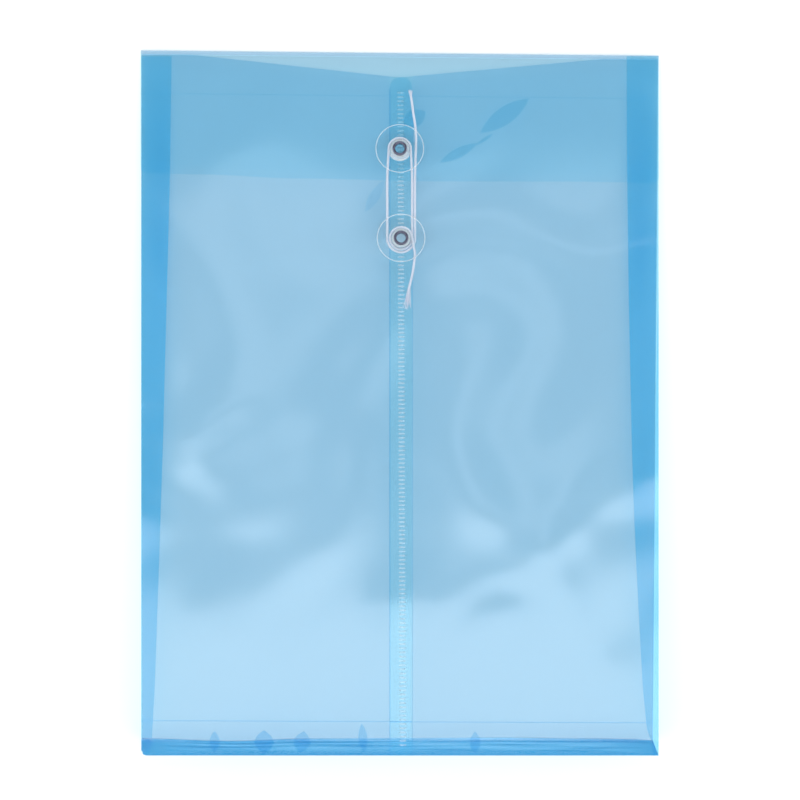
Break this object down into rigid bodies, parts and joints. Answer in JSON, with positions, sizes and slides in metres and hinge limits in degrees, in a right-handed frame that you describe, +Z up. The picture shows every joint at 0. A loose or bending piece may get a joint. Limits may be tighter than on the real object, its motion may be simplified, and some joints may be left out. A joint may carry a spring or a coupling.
{
  "type": "string-tie document wallet",
  "caption": "Translucent blue film document wallet with gusseted sides, squared base and a flap tied shut by string wound round clear eyeleted buttons.",
  "frame": {"origin": "centre of the bounding box, on the surface that the rear panel lies on", "axes": "+X to the right as seen from the front, +Y from the base towards the mouth and flap fold, +Z up, out of the front"},
  "size_m": [0.24, 0.326, 0.0297],
  "materials": {
    "film": "translucent blue polypropylene film, smooth and slightly rippled",
    "disc": "clear moulded disc with a polished rim",
    "hub": "milky moulded spacer",
    "eyelet": "nickel-plated, rolled",
    "string": "twisted white cotton cord"
  },
  "bodies": {
    "pocket_back": {"rear_panel": "film", "base_rear_leaf": "film", "base_front_leaf": "film", "left_gusset_front_leaf": "film", "left_gusset_rear_leaf": "film", "right_gusset_front_leaf": "film", "right_gusset_rear_leaf": "film", "flap_crease": "film"},
    "pocket_front": {"front_left_panel": "film", "front_right_panel": "film", "seam_weld_upper": "film", "seam_weld_lower": "film", "pocket_button_hub": "hub", "pocket_button_washer": "disc", "pocket_eyelet": "eyelet", "tie_string": "string"},
    "flap_side": {"flap": "film", "flap_button_hub": "hub", "flap_button_washer": "disc", "flap_eyelet": "eyelet"},
    "flap_disc": {"flap_button_disc": "disc"},
    "pocket_disc": {"pocket_button_disc": "disc"}
  },
  "joints": [
    {"name": "flap_fold", "type": "hinge", "parent": "pocket_back", "child": "flap_side", "pos_m": [0, 0.1609, 0.0021], "axis": [-1, 0, 0], "range_deg": [0, 165], "deforming": ["flap_crease", "tie_string"]},
    {"name": "mouth_open", "type": "hinge", "parent": "pocket_back", "child": "pocket_front", "pos_m": [0, -0.163, 0.0288], "axis": [1, 0, 0], "range_deg": [0, 1.62], "deforming": ["left_gusset_front_leaf", "left_gusset_rear_leaf", "right_gusset_front_leaf", "right_gusset_rear_leaf"]},
    {"name": "flap_disc_spin", "type": "hinge", "parent": "flap_side", "child": "flap_disc", "pos_m": [0, 0.11746, 0.0117], "axis": [0, 0.0844, 0.9964], "continuous": true},
    {"name": "pocket_disc_spin", "type": "hinge", "parent": "pocket_front", "child": "pocket_disc", "pos_m": [0.0006, 0.0763, 0.01325], "axis": [0, 0.0844, 0.9964], "continuous": true}
  ],
  "couplings": [
    {"joint": "mouth_open", "follows": "flap_fold", "ratio": 0.0098}
  ]
}
